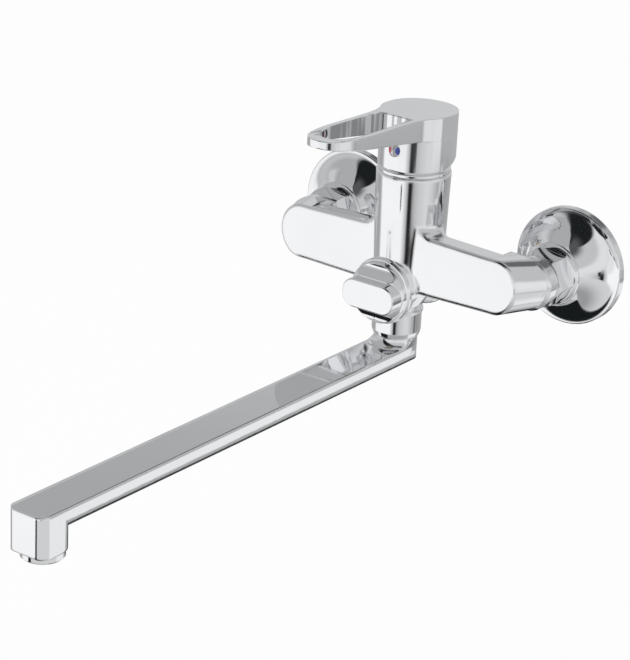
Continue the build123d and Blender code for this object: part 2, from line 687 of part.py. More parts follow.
def spout_prism(inset, back, front):
    """Straight length of the spout between two Y values."""
    plane = Plane(origin=(0, back, spout_top - spout_depth / 2), x_dir=(1, 0, 0), z_dir=(0, -1, 0))
    return extrude(plane * spout_section(inset), back - front)


def spout_plan(inset=0.0):
    """Plan of the spout: round behind the stem, rounded-square at the tip."""
    half = spout_half_width - inset
    end = aerator_y - spout_tip + inset
    corner = max(spout_tip_corner - inset, 1.0)
    bar = Pos(0, (spout_y + end) / 2) * Rectangle(2 * half, spout_y - end)
    bar = fillet(bar.vertices().group_by(Axis.Y)[0], corner)
    return bar + Pos(0, spout_y) * Circle(spout_neck_r - inset)


def neck_foot():
    """Hollow flare where the neck stands on the spout."""
    r, top, f = spout_neck_r, spout_top, neck_flare
    k = f * (1 - cos(pi / 4))
    outline = Line((0, top - 1), (r + f, top - 1)) + Line((r + f, top - 1), (r + f, top))
    outline += ThreePointArc((r + f, top), (r + k, top + k), (r, top + f))
    outline += Line((r, top + f), (0, top + f)) + Line((0, top + f), (0, top - 1))
    return Pos(0, spout_y, 0) * revolve(Plane.XZ * make_face(outline), Axis.Z)


def spout_body():
    """Outer form of the spout: arm, flared foot of the neck and the upright tip block."""
    plan = spout_plan()
    arm = spout_prism(0, spout_y + spout_neck_r + 2, aerator_y) & extrude(Pos(0, 0, -90) * plan, 60)
    foot_plan = extrude(Pos(0, 0, -90) * plan, 60)
    low = Pos(0, aerator_y) * Circle(spout_half_width)
    ahead = Pos(0, aerator_y - spout_tip) * Rectangle(4 * spout_half_width, 2 * spout_tip)
    block = extrude(Pos(0, 0, outlet_boss_bottom) * (low + (plan & ahead)), spout_top - outlet_boss_bottom)
    return arm + (neck_foot() & foot_plan) + block


def swivel_spout():
    """Spout in one piece: stem, neck, arm and outlet block, hollow throughout."""
    neck_top = spout_nut_bottom - 0.35
    spout = spout_body() + rod(spout_neck_r, spout_top - 4, neck_top, y=spout_y)
    stem = rod(stem_r, neck_top - 1, stem_top, y=spout_y)
    for z in stem_seal_heights:
        groove = stem_seal_wire + 0.3
        stem -= tube(stem_r + 1, stem_r - 2 * stem_seal_wire - 0.12, z - groove, z + groove, y=spout_y)
    ring_low = spout_nut_bottom + spout_nut_lip
    stem -= tube(stem_r + 1, stem_r - 0.6, ring_low + 0.05, ring_low + 1.75, y=spout_y)
    spout = spout + stem
    cavity = spout_prism(spout_wall, spout_y, aerator_y - spout_tip + 3)
    cavity = cavity & extrude(Pos(0, 0, -90) * spout_plan(spout_wall), 60)
    spout -= cavity
    spout -= rod(stem_bore_r, spout_top - spout_depth / 2, stem_top + 1, y=spout_y)
    bore = aerator_thread_r + thread_gap
    return spout - rod(bore, outlet_boss_bottom - 1, spout_top - spout_depth + 0.5, y=aerator_y)


def spout_nut():
    """Round coupling nut that holds the spout to the body."""
    low, top = spout_nut_bottom, spout_nut_top
    nut = turned([(0, low), (spout_nut_r - 0.9, low), (spout_nut_r, low + 2.6), (spout_nut_r, top - 0.6),
                  (spout_nut_r - 0.6, top), (0, top)], y=spout_y)
    nut -= rod(spout_thread_r + thread_gap, low + spout_nut_lip, top + 1, y=spout_y)
    return nut - rod(stem_r + 0.6, low - 1, top, y=spout_y)


def slip_ring():
    """Split nylon ring on the stem; the nut's lip lifts it."""
    low = spout_nut_bottom + spout_nut_lip + 0.1
    ring = tube(slip_ring_r, stem_r - 0.55, low, low + 1.6, y=spout_y)
    return ring - Pos(0, spout_y + slip_ring_r, low) * Box(1.6, 2 * slip_ring_r, 8)


def stem_o_ring(z):
    """O-ring that seals the stem in the body, its round section drawn with flats."""
    middle, w = stem_r - stem_seal_wire - 0.02, stem_seal_wire
    flat = w * tan(pi / 8)
    return turned([(middle - w, z - flat), (middle - flat, z - w), (middle + flat, z - w),
                   (middle + w, z - flat), (middle + w, z + flat), (middle + flat, z + w),
                   (middle - flat, z + w), (middle - w, z + flat)], y=spout_y)


def aerator_housing():
    """Outlet ring that screws into the spout's boss."""
    low, seat = aerator_bottom, outlet_boss_bottom - 0.05
    ring = turned([(0, low), (aerator_r - 0.9, low), (aerator_r, low + 0.9), (aerator_r, seat), (0, seat)],
                  y=aerator_y)
    ring += rod(aerator_thread_r, seat - 1, seat + 5.0, y=aerator_y)
    ring -= rod(aerator_thread_r - 1.2, low + aerator_lip, seat + 6, y=aerator_y)
    return ring - rod(aerator_thread_r - 2.2, low - 1, seat, y=aerator_y)


def aerator_insert():
    """Jet plate with its ring of small holes."""
    low = aerator_bottom + aerator_lip + 0.05
    plate = rod(aerator_thread_r - 1.3, low, outlet_boss_bottom + 4.9, y=aerator_y)
    plate -= rod(aerator_thread_r - 2.4, low + 2.6, outlet_boss_bottom + 6, y=aerator_y)
    for ring_r, count in ((2.6, 6), (5.2, 12)):
        for k in range(count):
            a = 2 * pi * k / count
            plate -= rod(0.7, low - 1, low + 4, x=ring_r * cos(a), y=aerator_y + ring_r * sin(a))
    return plate


def aerator_gasket():
    """Flat washer above the aerator."""
    low = outlet_boss_bottom + 5.0
    return tube(aerator_thread_r - 0.1, 7.0, low, spout_top - spout_depth + 0.45, y=aerator_y)


# Diverter on the front of the body


def diverter_bonnet():
    """Headwork bush screwed into the boss; the spindle turns in it."""
    back = -boss_front + bonnet_len
    bush = rod_along_y(bonnet_r, -boss_front - 0.9, back, z=boss_z)
    bush -= rod(mixed_way_r - 0.4, boss_z + 3, boss_z + bonnet_r + 1, y=back - 3.2)
    bush -= rod_along_y(diverter_disc_r + fit_gap, back - 3 * diverter_disc_thick, back + 1, z=boss_z)
    return bush - rod_along_y(diverter_spindle_r + fit_gap, -boss_front - 3, back, z=boss_z)


def diverter_collar():
    """Ridged escutcheon ring between the boss and the knob."""
    y = -boss_front - 0.02
    inner = bonnet_r + 0.15
    return turned_along_y([(inner, y), (collar_r, y), (collar_r, y - 1.4),
                           (collar_r - 0.9, y - collar_thick), (inner, y - collar_thick)], z=boss_z)


knob_back = -boss_front - collar_thick - knob_gap
knob_front = knob_back - knob_disc - grip_height
knob_screw_y = knob_back - knob_screw_set


def grip_outline(grow=0.0):
    """Rounded bar across the knob."""
    bar = Rectangle(2 * (grip_half_length + grow), 2 * (grip_half_height + grow))
    return fillet(bar.vertices(), grip_half_height + grow - 0.8)


def diverter_knob():
    """Knob: round base with a crowned edge and a flat-fronted grip bar."""
    disc = rod_along_y(knob_r, knob_back - knob_disc, knob_back, z=boss_z)
    disc = fillet(disc.edges().group_by(Axis.Y)[0], knob_shoulder)
    reach = knob_r + 2
    for side in (-1, 1):
        disc -= rod_along_x(finger_r, -reach, reach, y=knob_back - finger_floor - finger_r,
                            z=boss_z + side * (grip_half_height - 0.4 + finger_r))
    plane = Plane(origin=(0, knob_back - 1.0, boss_z), x_dir=(1, 0, 0), z_dir=(0, -1, 0))
    front = Plane(origin=(0, knob_front, boss_z), x_dir=(1, 0, 0), z_dir=(0, -1, 0))
    grip = loft([plane * grip_outline(-0.1), front * grip_outline()])
    grip = fillet(grip.edges().group_by(Axis.Y)[0], 0.7)
    knob = disc + grip
    bore = diverter_spindle_r + fit_gap
    knob -= rod_along_y(bore, knob_back + 1, knob_front + 3.0, z=boss_z)
    return knob - rod(knob_screw_r + thread_gap, boss_z - knob_r - 1, boss_z - bore + 1, y=knob_screw_y)


def diverter_spindle():
    """Spindle with the driving flange for the diverter disc."""
    back = -boss_front + bonnet_len - diverter_disc_thick
    shaft = rod_along_y(diverter_spindle_r, knob_front + 3.2, back - 0.5, z=boss_z)
    return shaft + rod_along_y(diverter_disc_r - 0.6, back - diverter_disc_thick, back, z=boss_z)


def diverter_disc():
    """Half-moon ceramic disc that opens one outlet or the other."""
    back = -boss_front + bonnet_len
    disc = rod_along_y(diverter_disc_r, back - diverter_disc_thick + 0.02, back - 0.02, z=boss_z)
    cut = Box(2 * diverter_disc_r, 8, diverter_disc_r, align=(Align.CENTER, Align.CENTER, Align.MAX))
    return disc - Pos(0, back, boss_z - 1.5) * cut


def diverter_screw():
    """Grub screw that holds the knob on its spindle, reached from below."""
    low = boss_z - knob_r + 3.2
    screw = rod(knob_screw_r, low, boss_z - diverter_spindle_r - 0.05, y=knob_screw_y)
    return screw - Pos(0, knob_screw_y, low - 0.2) * extrude(RegularPolygon(0.8, 6), 2)


def shower_outlet():
    """Bush in the shower boss with the thread for the hose."""
    low = shower_face + shower_recess
    bush = tube(shower_bush_r, shower_thread_r, low, low + shower_bush_len - 0.02, y=shower_y)
    return chamfer(bush.edges().group_by(Axis.Z)[0].sort_by(SortBy.RADIUS)[0], 0.4)


def check_valve():
    """Non-return valve above the bush: a cage with four ways and a mushroom poppet."""
    low, high = shower_bush_top + 0.02, shower_bush_top + shower_valve_len
    r = shower_valve_r - fit_gap
    cage = rod(r, low, high, y=shower_y) - rod(r - 1.2, low + 1.2, high + 1, y=shower_y)
    for k in range(4):
        a = pi / 4 + pi / 2 * k
        cage -= rod(1.5, low - 1, low + 3, x=3.6 * cos(a), y=shower_y + 3.6 * sin(a))
    poppet = turned([(0, low + 1), (1.2, low + 1), (1.2, low + 2.2), (r - 2.0, low + 2.2),
                     (r - 2.0, low + 3.2), (1.2, high - 0.8), (0, high - 0.8)], y=shower_y)
    return cage + poppet


def pieces():
    """Every piece by its node name."""
    parts = {
        "body_casting": body_casting(),
        "cartridge_base": cartridge_base(),
        "cartridge_port_seals": base_seals(),
        "fixed_ceramic_disc": fixed_disc(),
        "moving_ceramic_disc": moving_disc(),
        "disc_carrier": disc_carrier(),
        "cartridge_shell": cartridge_shell(),
        "cartridge_rotor": rotor(),
        "lever_pivot_pin": pivot_pin(),
        "lever_spindle": lever_spindle(),
        "cartridge_retaining_nut": retaining_nut(),
        "dome_cap": dome_cap(),
        "handle_lever": handle_lever(),
        "handle_grub_screw": handle_screw(),
        "index_plug_hot": index_plug(-1),
        "index_plug_cold": index_plug(1),
        "swivel_spout": swivel_spout(),
        "spout_coupling_nut": spout_nut(),
        "spout_slip_ring": slip_ring(),
        "spout_o_ring_upper": stem_o_ring(stem_seal_heights[0]),
        "spout_o_ring_lower": stem_o_ring(stem_seal_heights[1]),
        "aerator_housing": aerator_housing(),
        "aerator_jet_plate": aerator_insert(),
        "aerator_gasket": aerator_gasket(),
        "diverter_bonnet": diverter_bonnet(),
        "diverter_collar": diverter_collar(),
        "diverter_knob": diverter_knob(),
        "diverter_spindle": diverter_spindle(),
        "diverter_disc": diverter_disc(),
        "diverter_knob_screw": diverter_screw(),
        "shower_outlet_bush": shower_outlet(),
        "shower_check_valve": check_valve(),
    }
    for name, side in (("left", -1), ("right", 1)):
        parts[f"wall_flange_{name}"] = flange(side)
        parts[f"eccentric_union_{name}"] = s_union(side)
        parts[f"union_nut_{name}"] = union_nut(side)
        parts[f"union_gasket_{name}"] = union_gasket(side)
        parts[f"inlet_nipple_{name}"] = inlet_nipple(side)
    return parts


if __name__ == "__main__":
    os.makedirs("parts", exist_ok=True)
    hang = Pos(0, 0, -union_offset)
    for node, piece in pieces().items():
        export_step(hang * piece, f"parts/{node}.step")
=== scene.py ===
"""Looks of a wall-mounted single-lever bath mixer with a long swivel spout.

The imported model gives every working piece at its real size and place. This script dresses
those pieces in their finishes, adds the ridges of the two wall threads, which the solids
leave out, and sets the studio: camera, floor and light.
"""

import json
import logging
from dataclasses import dataclass
from enum import Enum
from math import cos, pi, radians, sin

import bmesh
import bpy
from mathutils import Matrix, Vector

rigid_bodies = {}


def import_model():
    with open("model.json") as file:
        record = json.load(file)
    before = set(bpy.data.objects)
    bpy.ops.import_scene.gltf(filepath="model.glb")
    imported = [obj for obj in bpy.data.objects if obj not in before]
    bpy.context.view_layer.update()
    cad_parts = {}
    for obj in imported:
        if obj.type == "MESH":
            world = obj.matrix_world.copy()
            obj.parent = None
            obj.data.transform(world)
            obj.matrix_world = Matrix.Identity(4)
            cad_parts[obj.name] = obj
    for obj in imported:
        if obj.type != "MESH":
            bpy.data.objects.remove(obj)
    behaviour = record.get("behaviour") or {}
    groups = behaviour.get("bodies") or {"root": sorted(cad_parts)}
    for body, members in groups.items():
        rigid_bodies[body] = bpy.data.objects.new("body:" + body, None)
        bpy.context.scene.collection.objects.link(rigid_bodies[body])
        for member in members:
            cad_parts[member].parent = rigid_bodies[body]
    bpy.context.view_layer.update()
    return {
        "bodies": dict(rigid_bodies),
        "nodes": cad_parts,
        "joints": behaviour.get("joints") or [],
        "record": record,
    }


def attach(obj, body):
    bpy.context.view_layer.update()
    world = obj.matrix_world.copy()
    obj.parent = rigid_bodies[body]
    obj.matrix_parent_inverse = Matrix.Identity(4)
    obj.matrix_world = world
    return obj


log = logging.getLogger("bath_mixer")

Colour = tuple[float, float, float]
MM = 0.001
BEVEL_SAMPLES = 8
DEGREES = 180.0 / pi
COOL = (0.99, 1.0, 1.01)
BLACK = (0.0, 0.002, 0.002)


class Slot(Enum):
    """Material slots of the record."""

    CHROME = "chrome"
    BRASS = "brass"
    STEEL = "steel"
    CARTRIDGE = "cartridge_plastic"
    NYLON = "nylon"
    CERAMIC = "ceramic"
    RUBBER = "seal_rubber"
    HOT = "index_hot"
    COLD = "index_cold"


class Number:
    """A value socket that builds Math nodes from Python expressions."""

    def __init__(self, graph: "Graph", socket: bpy.types.NodeSocket) -> None:
        """Wraps a socket of a graph."""
        self.graph = graph
        self.socket = socket

    def _math(self, operation: str, *values: "Number | float", clamp: bool = False) -> "Number":
        """Adds one Math node.

        Args:
            operation: name of the Math node's operation.
            values: its inputs, in order.
            clamp: whether the result is kept between 0 and 1.

        Returns:
            The node's result.
        """
        return self.graph.node("ShaderNodeMath", {"operation": operation, "use_clamp": clamp},
                               dict(enumerate(values)))

    def __add__(self, other: "Number | float") -> "Number":
        """Sum."""
        return self._math("ADD", self, other)

    __radd__ = __add__

    def __sub__(self, other: "Number | float") -> "Number":
        """Difference."""
        return self._math("SUBTRACT", self, other)

    def __rsub__(self, other: "Number | float") -> "Number":
        """Difference with a plain number first."""
        return self._math("SUBTRACT", other, self)

    def __mul__(self, other: "Number | float") -> "Number":
        """Product."""
        return self._math("MULTIPLY", self, other)

    def __truediv__(self, other: "Number | float") -> "Number":
        """Quotient."""
        return self._math("DIVIDE", self, other)

    def arctan2(self, other: "Number") -> "Number":
        """Angle of the point (other, self), in radians."""
        return self._math("ARCTAN2", self, other)

    def arcsin(self) -> "Number":
        """Arc sine, in radians."""
        return self._math("ARCSINE", self)

    def root(self) -> "Number":
        """Square root."""
        return self._math("SQRT", self)

    def clamped(self, full: float) -> "Number":
        """Share of a full value, kept between 0 and 1."""
        return self._math("DIVIDE", self, full, clamp=True)

    def ramp(self, start: float, end: float) -> "Number":
        """Smooth step from 0 at start to 1 at end; start may be the larger."""
        low, high, first, last = (start, end, 0.0, 1.0) if start < end else (end, start, 1.0, 0.0)
        return self.graph.node("ShaderNodeMapRange", {"interpolation_type": "SMOOTHSTEP"},
                               {"Value": self, "From Min": low, "From Max": high, "To Min": first,
                                "To Max": last})


class Graph:
    """Node tree of a material or of the world."""

    def __init__(self, tree: bpy.types.NodeTree) -> None:
        """Takes a tree and empties it."""
        self.tree = tree
        tree.nodes.clear()

    def node(self, kind: str, settings: dict | None = None, inputs: dict | None = None,
             output: str | int = 0) -> Number:
        """Adds a node.

        Args:
            kind: the node's type name.
            settings: its properties, set before its sockets; "stops" fills a colour ramp.
            inputs: values or links by socket name or number.
            output: the output socket that is returned.

        Returns:
            The chosen output, or the node's first input where it has no output.
        """
        made = self.tree.nodes.new(kind)
        for name, value in (settings or {}).items():
            if name == "stops":
                self._fill_ramp(made.color_ramp, value)
            else:
                setattr(made, name, value)
        for key, value in (inputs or {}).items():
            socket = made.inputs[key]
            if isinstance(value, Number):
                self.tree.links.new(value.socket, socket)
            elif isinstance(value, tuple) and len(value) == 3 and socket.type == "RGBA":
                socket.default_value = (*value, 1.0)
            else:
                socket.default_value = value
        return Number(self, made.outputs[output] if made.outputs else made.inputs[0])

    @staticmethod
    def _fill_ramp(ramp: bpy.types.ColorRamp, stops: list[tuple[float, Colour]]) -> None:
        """Writes a colour ramp's stops, given as (place, colour)."""
        while len(ramp.elements) > 1:
            ramp.elements.remove(ramp.elements[-1])
        for k, (place, colour) in enumerate(stops):
            element = ramp.elements[0] if k == 0 else ramp.elements.new(place)
            element.position = place
            element.color = (*colour, 1.0)

    def mix_colour(self, factor: Number | float, first: "Number | Colour",
                   second: "Number | Colour") -> Number:
        """Mixes two colours.

        Args:
            factor: 0 gives the first, 1 the second.
            first: a colour or a link.
            second: a colour or a link.

        Returns:
            The mixed colour.
        """
        made = self.tree.nodes.new("ShaderNodeMix")
        made.data_type = "RGBA"
        for socket, value in ((made.inputs["Factor"], factor), (made.inputs[6], first),
                              (made.inputs[7], second)):
            if isinstance(value, Number):
                self.tree.links.new(value.socket, socket)
            else:
                socket.default_value = (*value, 1.0) if isinstance(value, tuple) else value
        return Number(self, made.outputs[2])

    def place(self) -> Number:
        """Object coordinates, in metres."""
        return self.node("ShaderNodeTexCoord", output="Object")

    def parts(self, vector: Number, *names: str) -> list[Number]:
        """Components of a vector by their names, such as X."""
        split = self.node("ShaderNodeSeparateXYZ", {}, {0: vector}).socket.node
        return [Number(self, split.outputs[name]) for name in names]

    def noise(self, vector: Number, scale: float, detail: float,
              roughness: float = 0.5) -> Number:
        """Noise between 0 and 1 on a vector."""
        return self.node("ShaderNodeTexNoise", {}, {
            "Vector": vector, "Scale": scale, "Detail": detail, "Roughness": roughness})

    def stretched(self, vector: Number, scale: tuple[float, float, float]) -> Number:
        """The vector, scaled by axis."""
        return self.node("ShaderNodeMapping", {}, {"Vector": vector, "Scale": scale})

    def bump(self, height: Number, depth: float, strength: float = 1.0,
             normal: Number | None = None) -> Number:
        """Bump of a height between 0 and 1.

        Args:
            height: the height.
            depth: its full depth in metres.
            strength: share of the effect.
            normal: the normal that it tilts, if not the mesh's own.

        Returns:
            The tilted normal.
        """
        inputs = {"Height": height, "Distance": depth, "Strength": strength}
        if normal is not None:
            inputs["Normal"] = normal
        return self.node("ShaderNodeBump", {}, inputs)

    def rounded(self, radius: float) -> Number:
        """Normal of a surface whose edges are rounded by a radius in metres."""
        return self.node("ShaderNodeBevel", {"samples": BEVEL_SAMPLES}, {"Radius": radius})


@dataclass(frozen=True)
class Cloud:
    """Patches of noise, from 0 to 1, that set in between a low and a high noise value."""

    scale: float
    detail: float
    low: float
    high: float
    roughness: float = 0.5

    def over(self, graph: Graph, vector: Number) -> Number:
        """Strength of the patches on a vector."""
        noise = graph.noise(vector, self.scale, self.detail, self.roughness)
        return noise.ramp(self.low, self.high)


@dataclass(frozen=True)
class Finish:
    """Base of every finish: a name and one material made from it."""

    name: str

    def shade(self, graph: Graph) -> dict:
        """Gives the Principled sockets of this finish, by name."""
        raise NotImplementedError

    def material(self) -> bpy.types.Material:
        """Returns the material of this finish, made once."""
        name = f"{self.name}_finish"
        known = bpy.data.materials.get(name)
        if known:
            return known
        made = bpy.data.materials.new(name)
        made.use_nodes = True
        graph = Graph(made.node_tree)
        shader = graph.node("ShaderNodeBsdfPrincipled", {}, self.shade(graph))
        graph.node("ShaderNodeOutputMaterial", {}, {"Surface": shader})
        return made


@dataclass(frozen=True)
class Chrome(Finish):
    """Bright chrome plate over polished brass.

    The plate is a mirror. Polishing leaves its roughness a little uneven and its surface
    very slightly wavy, which bends long reflections.
    """

    colour: Colour = (0.900, 0.905, 0.915)
    haze: Colour = (0.875, 0.880, 0.893)
    smooth: float = 0.030
    rough: float = 0.070
    wave_depth: float = 0.010 * MM
    wave_scale: float = 90.0
    edge: float = 0.35 * MM
    polish: Cloud = Cloud(22.0, 4.0, 0.30, 0.75, 0.55)

    def tone(self, graph: Graph, place: Number, worn: Number) -> Number:
        """Colour of the plate.

        Args:
            graph: the material's nodes.
            place: Object coordinates; not used here.
            worn: how hazy the plate is, from 0 to 1.

        Returns:
            The colour.
        """
        return graph.mix_colour(worn, self.colour, self.haze)

    def shade(self, graph: Graph) -> dict:
        """Mirror with polishing haze, a faint waviness and edges that polishing has rounded."""
        place = graph.place()
        worn = self.polish.over(graph, place)
        return {
            "Base Color": self.tone(graph, place, worn),
            "Metallic": 1.0,
            "Roughness": self.smooth + worn * (self.rough - self.smooth),
            "Normal": graph.bump(graph.noise(place, self.wave_scale, 1.0), self.wave_depth,
                                 normal=self.drawn(graph, place, graph.rounded(self.edge))),
        }

    def drawn(self, graph: Graph, place: Number, normal: Number) -> Number:
        """Tilts the normal where the piece's own form asks it; plain chrome leaves it."""
        return normal


@dataclass(frozen=True)
class LoopChrome(Chrome):
    """Chrome of the loop handle, with painted shade that darkens the loop's inner walls."""

    # Colour of the painted shade on the loop's inner walls
    painted_shade_colour: Colour = (0.46, 0.465, 0.475)
    half_width: float = 11.4 * MM
    root_y: float = -73.0 * MM
    tip_y: float = -138.6 * MM
    under_z: float = 66.0 * MM
    soft: float = 0.3 * MM
    # Streaks in the painted shade: the stretch of their noise by axis, and the noise itself
    shade_streak_stretch: tuple[float, float, float] = (260.0, 120.0, 6.0)
    painted_shade_streaks: Cloud = Cloud(1.0, 2.0, 0.42, 0.5)

    def tone(self, graph: Graph, place: Number, worn: Number) -> Number:
        """Colour of the plate, with painted shade on the loop's inner walls.

        Args:
            graph: the material's nodes.
            place: Object coordinates.
            worn: how hazy the plate is, from 0 to 1.

        Returns:
            The colour.
        """
        x, y, z = graph.parts(place, "X", "Y", "Z")
        soft = self.soft
        # Painted shade: a soft-edged box over the loop's inner walls
        painted_shade_mask = (x.ramp(-self.half_width - soft, -self.half_width + soft)
                  * x.ramp(self.half_width + soft, self.half_width - soft)
                  * y.ramp(self.root_y + soft, self.root_y - soft)
                  * y.ramp(self.tip_y - soft, self.tip_y + soft)
                  * z.ramp(self.under_z - soft, self.under_z + soft))
        # The painted shade is streaked between its dark colour and the plate's own colour
        painted_shade_streaks = self.painted_shade_streaks.over(graph, graph.stretched(place, self.shade_streak_stretch))
        deep = graph.mix_colour(painted_shade_streaks, self.painted_shade_colour, self.colour)
        return graph.mix_colour(painted_shade_mask, Chrome.tone(self, graph, place, worn), deep)


@dataclass(frozen=True)
class SpoutChrome(Chrome):
    """Chrome of the spout, whose flat top is drawn down towards its two long edges."""

    half_width: float = 12.3 * MM
    roll: float = 1.9 * MM
    fall: float = 0.95 * MM
    top_z: float = -54.3 * MM
    soft: float = 0.05 * MM

    def drawn(self, graph: Graph, place: Number, normal: Number) -> Number:
        """Tilts the normal outwards along the top's edges.

        Args:
            graph: the material's nodes.
            place: Object coordinates.
            normal: the normal so far.

        Returns:
            The tilted normal.
        """
        x, z = graph.parts(place, "X", "Z")
        out = ((x * x).root() - (self.half_width - self.roll)).clamped(self.roll)
        top = z.ramp(self.top_z - self.soft, self.top_z + self.soft)
        return graph.bump(1.0 - out * out * top, self.fall, normal=normal)


@dataclass(frozen=True)
class TurnedMetal(Finish):
    """Bare turned metal with fine tool marks across its axis."""

    colour: Colour = (0.80, 0.64, 0.36)
    dull: Colour = (0.58, 0.44, 0.24)
    roughness: float = 0.30
    marks: tuple[float, float, float] = (200.0, 2600.0, 2600.0)
    mark_depth: float = 0.02 * MM
    mark_strength: float = 0.6
    tarnish: Cloud = Cloud(140.0, 5.0, 0.35, 0.7, 0.6)
    dulling: float = 0.2

    def shade(self, graph: Graph) -> dict:
        """Metal with tarnish in clouds and tool marks in its bump."""
        place = graph.place()
        tarnish = self.tarnish.over(graph, place)
        lines = graph.noise(graph.stretched(place, self.marks), 1.0, 2.0)
        return {
            "Base Color": graph.mix_colour(tarnish, self.colour, self.dull),
            "Metallic": 1.0,
            "Roughness": self.roughness + tarnish * self.dulling,
            "Normal": graph.bump(lines, self.mark_depth, self.mark_strength),
        }


@dataclass(frozen=True)
class Moulded(Finish):
    """Moulded plastic, rubber or ceramic with a fine skin."""

    colour: Colour = (0.75, 0.75, 0.73)
    shade_colour: Colour = (0.66, 0.66, 0.64)
    roughness: float = 0.45
    grain_scale: float = 1500.0
    grain_depth: float = 0.02 * MM
    grain_strength: float = 0.5
    grain_haze: float = 0.12
    flow: Cloud = Cloud(60.0, 3.0, 0.3, 0.7)

    def shade(self, graph: Graph) -> dict:
        """Plain body colour with slow variation and a fine grain."""
        place = graph.place()
        slow = self.flow.over(graph, place)
        grain = graph.noise(place, self.grain_scale, 2.0)
        return {
            "Base Color": graph.mix_colour(slow, self.colour, self.shade_colour),
            "Roughness": self.roughness + grain * self.grain_haze,
            "Normal": graph.bump(grain, self.grain_depth, self.grain_strength),
        }


@dataclass(frozen=True)
class IndexMark(Finish):
    """Half of the glossy index button: a pale dome with one small coloured mark."""

    mark: Colour
    side: float
    pale: Colour = (0.62, 0.62, 0.64)
    deep: Colour = (0.30, 0.30, 0.32)
    mark_x: float = 2.6 * MM
    mark_z: float = 62.0 * MM
    mark_r: float = 1.3 * MM
    mark_blur: float = 0.1
    oval: float = 0.35
    metallic: float = 0.35
    smooth: float = 0.06
    haze: float = 0.05
    lacquer: float = 0.8
    darkening: Cloud = Cloud(420.0, 2.0, 0.4, 0.7)

    def shade(self, graph: Graph) -> dict:
        """Pale enamel that darkens in clouds, with the mark near the button's edge."""
        place = graph.place()
        x, z = graph.parts(place, "X", "Z")
        dx, dz = x - self.side * self.mark_x, z - self.mark_z
        away = (dx * dx + dz * dz * self.oval).root()
        spot = away.ramp(self.mark_r * (1 + self.mark_blur), self.mark_r * (1 - self.mark_blur))
        cloud = self.darkening.over(graph, place)
        body = graph.mix_colour(cloud, self.pale, self.deep)
        return {
            "Base Color": graph.mix_colour(spot, body, self.mark),
            "Metallic": self.metallic,
            "Roughness": cloud * self.haze + self.smooth,
            "Coat Weight": self.lacquer,
        }


FINISHES: dict[Slot, Finish] = {
    Slot.CHROME: Chrome("chrome_plate"),
    Slot.BRASS: TurnedMetal("turned_brass"),
    Slot.STEEL: TurnedMetal("machined_steel", (0.62, 0.62, 0.63), (0.45, 0.45, 0.46), 0.26),
    Slot.CARTRIDGE: Moulded("cartridge_plastic", (0.78, 0.78, 0.75), (0.70, 0.70, 0.68), 0.42),
    Slot.NYLON: Moulded("nylon", (0.86, 0.86, 0.84), (0.78, 0.78, 0.76), 0.38),
    Slot.CERAMIC: Moulded("lapped_ceramic", (0.90, 0.89, 0.86), (0.84, 0.83, 0.80), 0.12,
                          grain_depth=0.003 * MM),
    Slot.RUBBER: Moulded("seal_rubber", (0.030, 0.030, 0.032), (0.045, 0.045, 0.047), 0.55),
    Slot.HOT: IndexMark("index_hot", (0.50, 0.03, 0.05), -1.0),
    Slot.COLD: IndexMark("index_cold", (0.02, 0.05, 0.30), 1.0),
}


def dress(piece: bpy.types.Object, slot: Slot, finish: Finish | None = None) -> None:
    """Gives a piece one finish in every one of its material slots.

    Args:
        piece: the piece.
        slot: its slot in the record.
        finish: its own finish, if not the slot's.
    """
    finish = (finish or FINISHES[slot]).material()
    if not piece.data.materials:
        piece.data.materials.append(finish)
    for k in range(len(piece.data.materials)):
        piece.data.materials[k] = finish


def new_piece(name: str, shape: bmesh.types.BMesh, body: str, slot: Slot) -> None:
    """Makes a sharp-edged piece from a bmesh, dresses it and lets it ride on a body.

    Args:
        name: the piece's name.
        shape: its mesh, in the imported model's frame, which is freed.
        body: the body that carries it.
        slot: the material slot that it takes its finish from.
    """
    mesh = bpy.data.meshes.new(name)
    bmesh.ops.recalc_face_normals(shape, faces=shape.faces)
    shape.to_mesh(mesh)
    shape.free()
    piece = bpy.data.objects.new(name, mesh)
    bpy.context.scene.collection.objects.link(piece)
    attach(piece, body)
    dress(piece, slot)
    log.info("made %s on %s", name, body)


@dataclass(frozen=True)
class Panel:
    """Soft box or flag in the studio, by the angles at which the mixer sees it.

    Angles are in degrees, left and right from the camera or, for a panel behind the mixer,
    from straight behind it. A leaning edge moves by so many degrees for each degree of height.
    """

    left: float
    right: float
    low: float
    high: float
    level: float
    left_lean: float = 0.0
    right_lean: float = 0.0
    side_edge: float = 4.0
    top_edge: float = 4.0
    behind: bool = False

    @property
    def colour(self) -> Colour:
        """Its colour, with a trace of blue in the light and of cyan in the black."""
        return tuple(self.level * share + trace for share, trace in zip(COOL, BLACK))

    def mask(self, turn: Number, height: Number) -> Number:
        """Where the panel is, soft at its edges.

        Args:
            turn: angle round the mixer.
            height: angle above the horizon.

        Returns:
            1 on the panel and 0 off it.
        """
        side, top = self.side_edge / 2, self.top_edge / 2
        after_left = (turn - height * self.left_lean).ramp(self.left - side, self.left + side)
        before_right = (turn - height * self.right_lean).ramp(self.right + side, self.right - side)
        level = height.ramp(self.low - top, self.low + top) * height.ramp(
            self.high + top, self.high - top)
        return after_left * before_right * level


